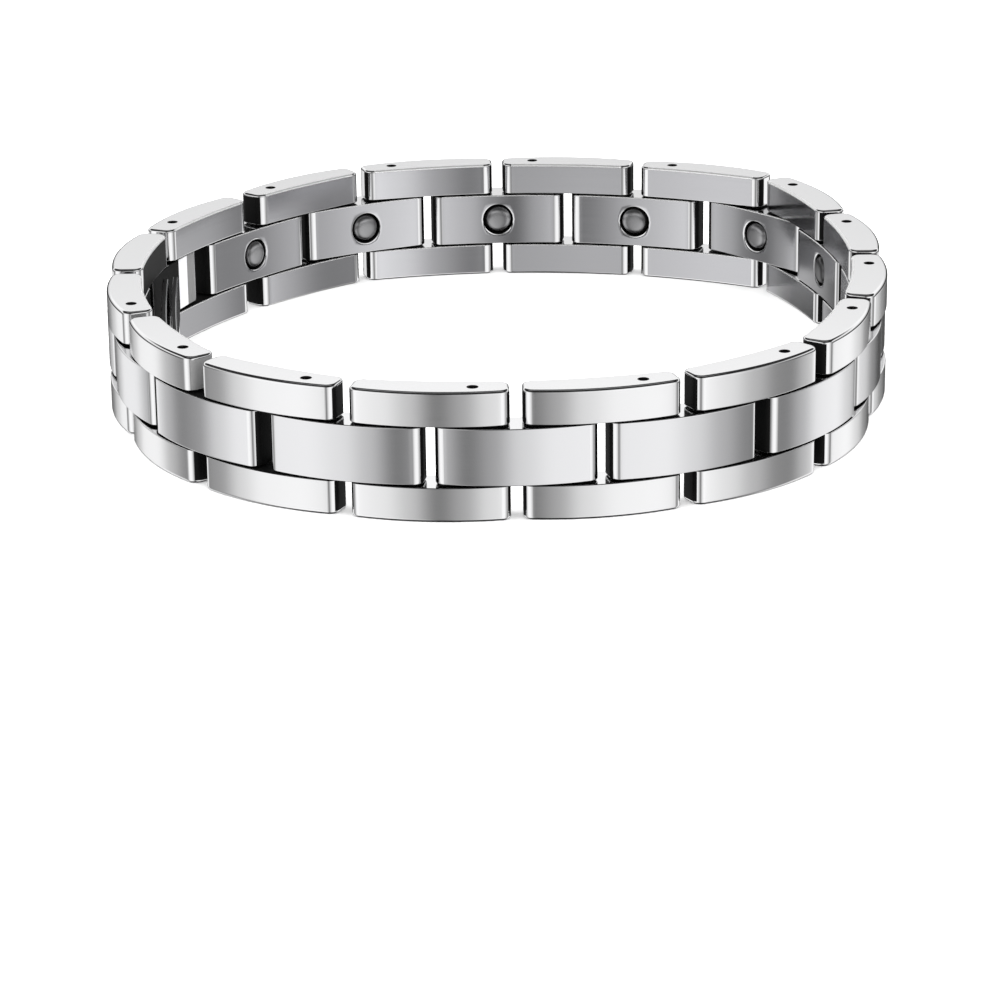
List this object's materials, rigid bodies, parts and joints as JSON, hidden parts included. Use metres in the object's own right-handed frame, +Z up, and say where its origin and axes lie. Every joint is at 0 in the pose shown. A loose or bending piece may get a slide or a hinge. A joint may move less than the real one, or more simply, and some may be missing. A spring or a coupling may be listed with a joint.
{
  "type": "magnetic bracelet",
  "caption": "Closed steel link bracelet with a row of round magnets in its inner face and a fold-over clasp, standing on its lower rim.",
  "frame": {"origin": "on the ground under the middle of the loop, seen from above", "axes": "+Z up out of the ground along the loop's axis; +Y from the front of the loop to its back, its longest width; +X to the right"},
  "size_m": [0.0686, 0.0738, 0.0109],
  "materials": {
    "side_link_steel": "satin",
    "centre_link_steel": "satin",
    "clasp_steel": "semi-polished",
    "magnet_black": "polished, nearly black"
  },
  "bodies": {
    "root": {"side_link_01": "side_link_steel", "side_link_02": "side_link_steel", "side_link_03": "side_link_steel", "side_link_04": "side_link_steel", "side_link_05": "side_link_steel", "side_link_06": "side_link_steel", "side_link_07": "side_link_steel", "side_link_08": "side_link_steel", "side_link_09": "side_link_steel", "side_link_10": "side_link_steel", "side_link_11": "side_link_steel", "side_link_12": "side_link_steel", "side_link_13": "side_link_steel", "side_link_14": "side_link_steel", "side_link_15": "side_link_steel", "side_link_16": "side_link_steel", "centre_link_01": "centre_link_steel", "centre_link_02": "centre_link_steel", "centre_link_03": "centre_link_steel", "centre_link_04": "centre_link_steel", "centre_link_05": "centre_link_steel", "centre_link_06": "centre_link_steel", "centre_link_07": "centre_link_steel", "centre_link_08": "centre_link_steel", "centre_link_09": "centre_link_steel", "centre_link_10": "centre_link_steel", "centre_link_11": "centre_link_steel", "centre_link_12": "centre_link_steel", "centre_link_13": "centre_link_steel", "centre_link_14": "centre_link_steel", "centre_link_15": "centre_link_steel", "centre_link_16": "centre_link_steel", "magnet_01": "magnet_black", "magnet_02": "magnet_black", "magnet_03": "magnet_black", "magnet_04": "magnet_black", "magnet_05": "magnet_black", "magnet_06": "magnet_black", "magnet_07": "magnet_black", "magnet_08": "magnet_black", "magnet_09": "magnet_black", "magnet_10": "magnet_black", "magnet_11": "magnet_black", "magnet_12": "magnet_black", "magnet_13": "magnet_black", "fold_clasp": "clasp_steel"}
  },
  "joints": []
}
